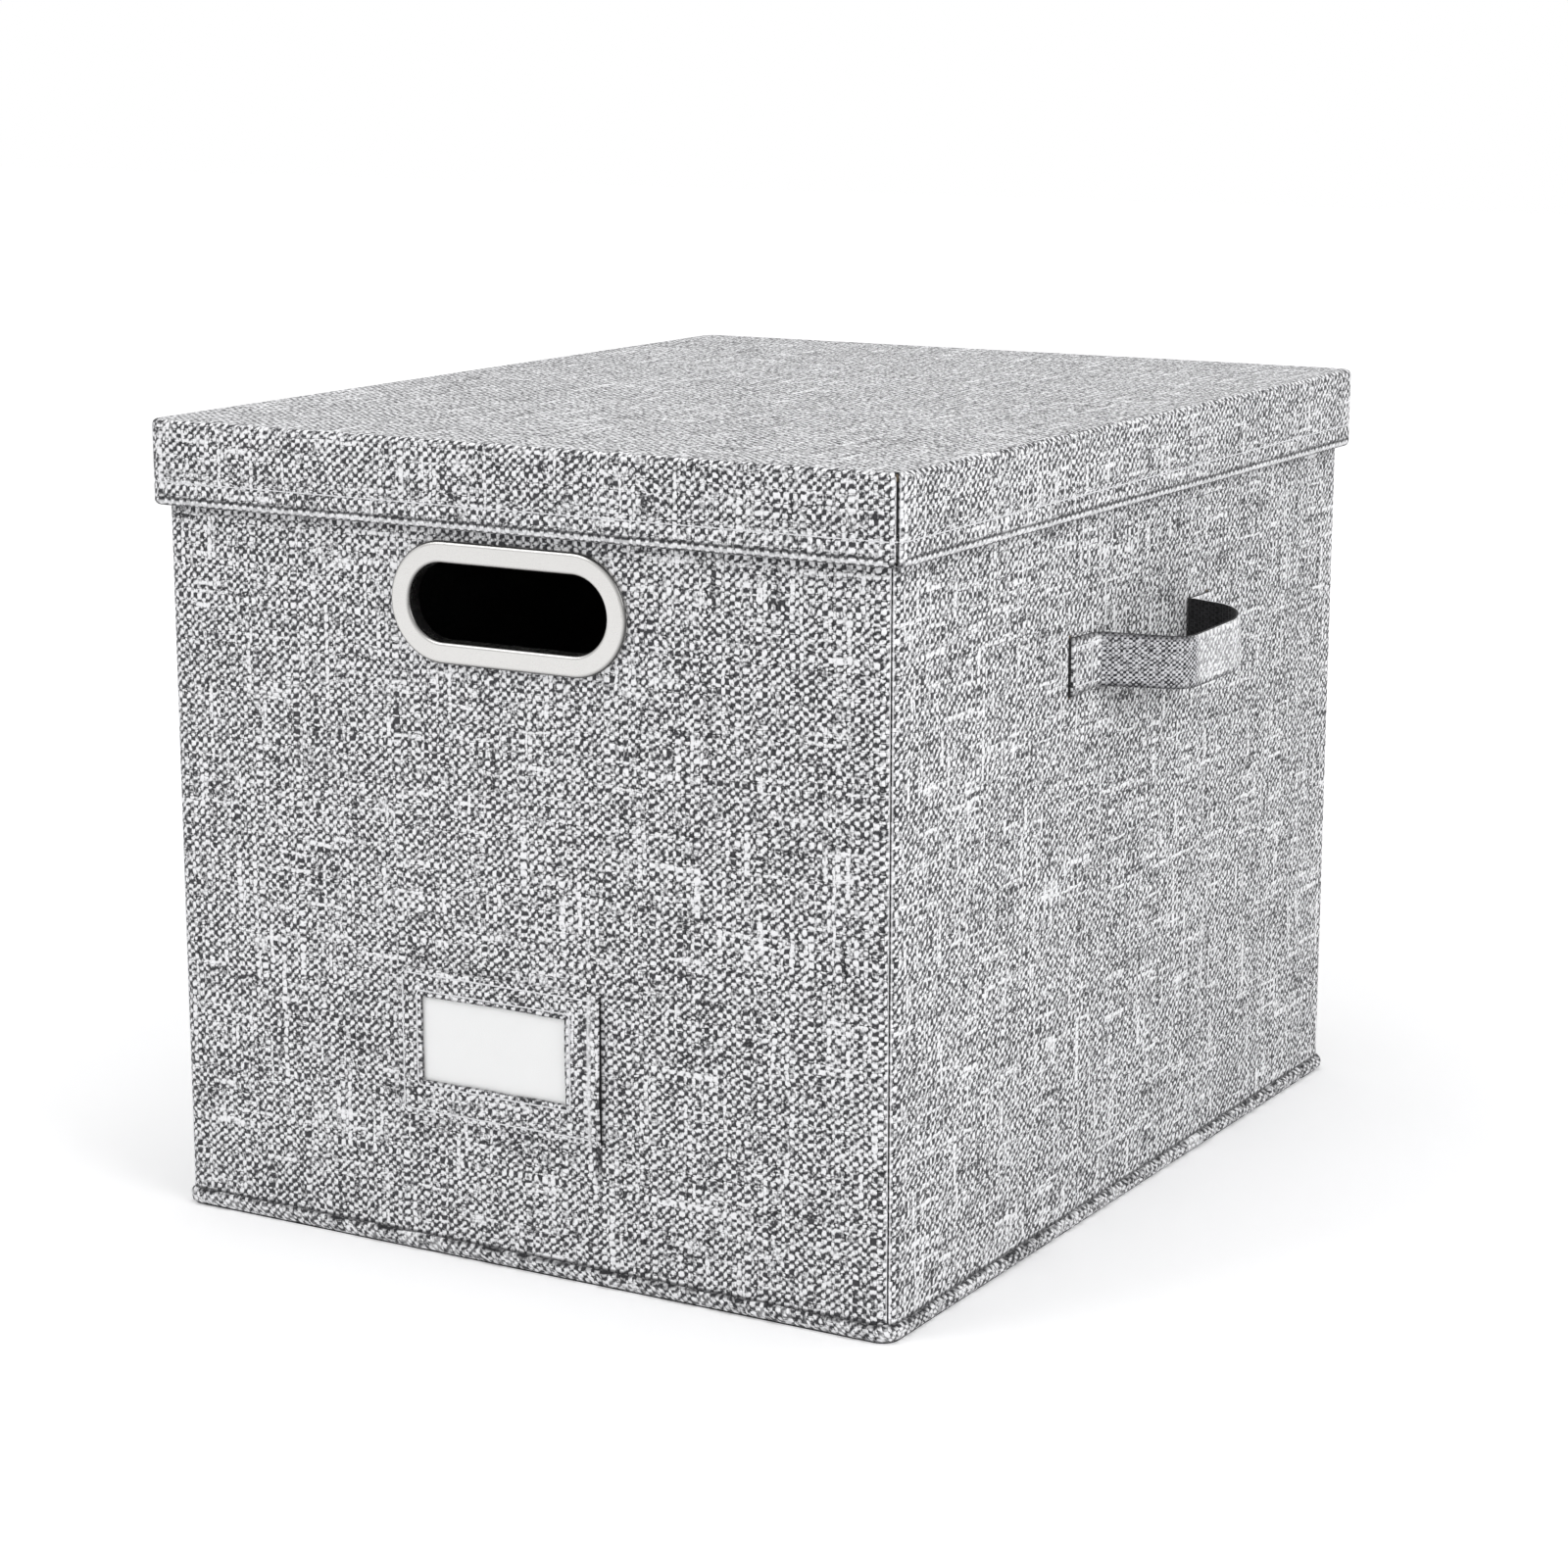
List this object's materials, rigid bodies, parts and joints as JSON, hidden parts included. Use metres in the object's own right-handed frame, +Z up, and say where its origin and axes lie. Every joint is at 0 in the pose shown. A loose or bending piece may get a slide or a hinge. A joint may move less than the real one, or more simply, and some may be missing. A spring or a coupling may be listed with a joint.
{
  "type": "record carrying case",
  "caption": "Cloth-covered board box for long-playing records, with a lift-off lid, an oval metal hand hole, a window label pocket and side straps.",
  "frame": {"origin": "centre of the closed case's underside, on the surface that it stands on", "axes": "+Z up out of the case, the way the lid lifts; -Y towards the front with the hand hole and the label; +X to the right as the front is seen"},
  "size_m": [0.406, 0.44, 0.3341],
  "materials": {
    "linen_cloth": "matte",
    "grey_lining": "matte",
    "black_webbing": "matte",
    "black_felt": "matte",
    "greyboard": "matte",
    "satin_nickel": "satin",
    "zinc_steel": "satin",
    "clear_film": "gloss",
    "white_card": "matte"
  },
  "bodies": {
    "case": {"front_cover": "linen_cloth", "back_cover": "linen_cloth", "left_cover": "linen_cloth", "right_cover": "linen_cloth", "front_board": "greyboard", "back_board": "greyboard", "left_board": "greyboard", "right_board": "greyboard", "lining": "grey_lining", "bottom_cover": "black_felt", "bottom_welt": "linen_cloth", "handle_ring": "satin_nickel", "handle_backing_ring": "zinc_steel", "label_pocket": "linen_cloth", "label_window": "clear_film", "left_strap": "linen_cloth", "left_strap_webbing": "black_webbing", "left_strap_ends": "linen_cloth", "right_strap": "linen_cloth", "right_strap_webbing": "black_webbing", "right_strap_ends": "linen_cloth"},
    "lid": {"lid_cover": "linen_cloth", "lid_lining": "grey_lining", "lid_top_board": "greyboard", "lid_front_board": "greyboard", "lid_back_board": "greyboard", "lid_left_board": "greyboard", "lid_right_board": "greyboard"},
    "base_board": {"base_board": "greyboard", "base_board_sleeve": "grey_lining"},
    "label_card": {"label_card": "white_card"}
  },
  "joints": [
    {"name": "lid_lift", "type": "slide", "parent": "case", "child": "lid", "axis": [0, 0, 1], "range_m": [0, 0.36]},
    {"name": "base_board_lift", "type": "slide", "parent": "case", "child": "base_board", "axis": [0, 0, 1], "range_m": [0, 0.31]},
    {"name": "label_card_slide", "type": "slide", "parent": "case", "child": "label_card", "axis": [1, 0, 0], "range_m": [0, 0.092]}
  ]
}
